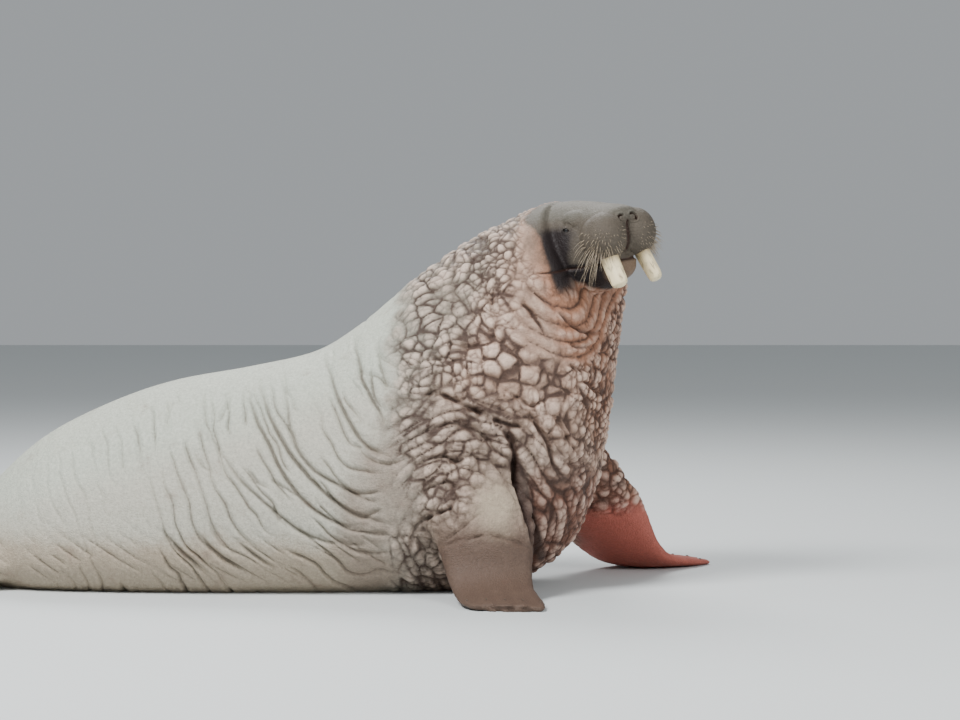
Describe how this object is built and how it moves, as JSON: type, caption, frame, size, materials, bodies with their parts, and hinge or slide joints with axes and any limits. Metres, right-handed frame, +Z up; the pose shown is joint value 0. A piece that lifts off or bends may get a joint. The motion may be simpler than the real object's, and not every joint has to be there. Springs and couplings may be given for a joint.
{
  "type": "walrus",
  "caption": "Life-size still model of an adult bull walrus, propped on its fore flippers in a shallow-water pose, with its head turned to its right.",
  "frame": {"origin": "middle of the bounding box, on the floor that the belly and the flippers rest on", "axes": "+X from rump to head, +Y towards the animal's left, +Z up"},
  "size_m": [3.4417, 1.7524, 1.5377],
  "materials": {
    "body_skin": "thick, creased and bossed hide with hardly any hair, matt",
    "head_skin": "dark, short-haired hide, matt",
    "flipper_skin": "bare, finely wrinkled hide, slightly damp",
    "ivory": "worn, smooth ivory with fine cracks along it",
    "eye": "wet and glossy"
  },
  "bodies": {
    "root": {"head": "head_skin", "neck": "body_skin", "chest": "body_skin", "belly": "body_skin", "rump": "body_skin", "tail": "body_skin", "fore_flipper_left": "flipper_skin", "fore_flipper_right": "flipper_skin", "hind_flipper_left": "flipper_skin", "hind_flipper_right": "flipper_skin", "tusk_left": "ivory", "tusk_right": "ivory", "eye_left": "eye", "eye_right": "eye"}
  },
  "joints": []
}
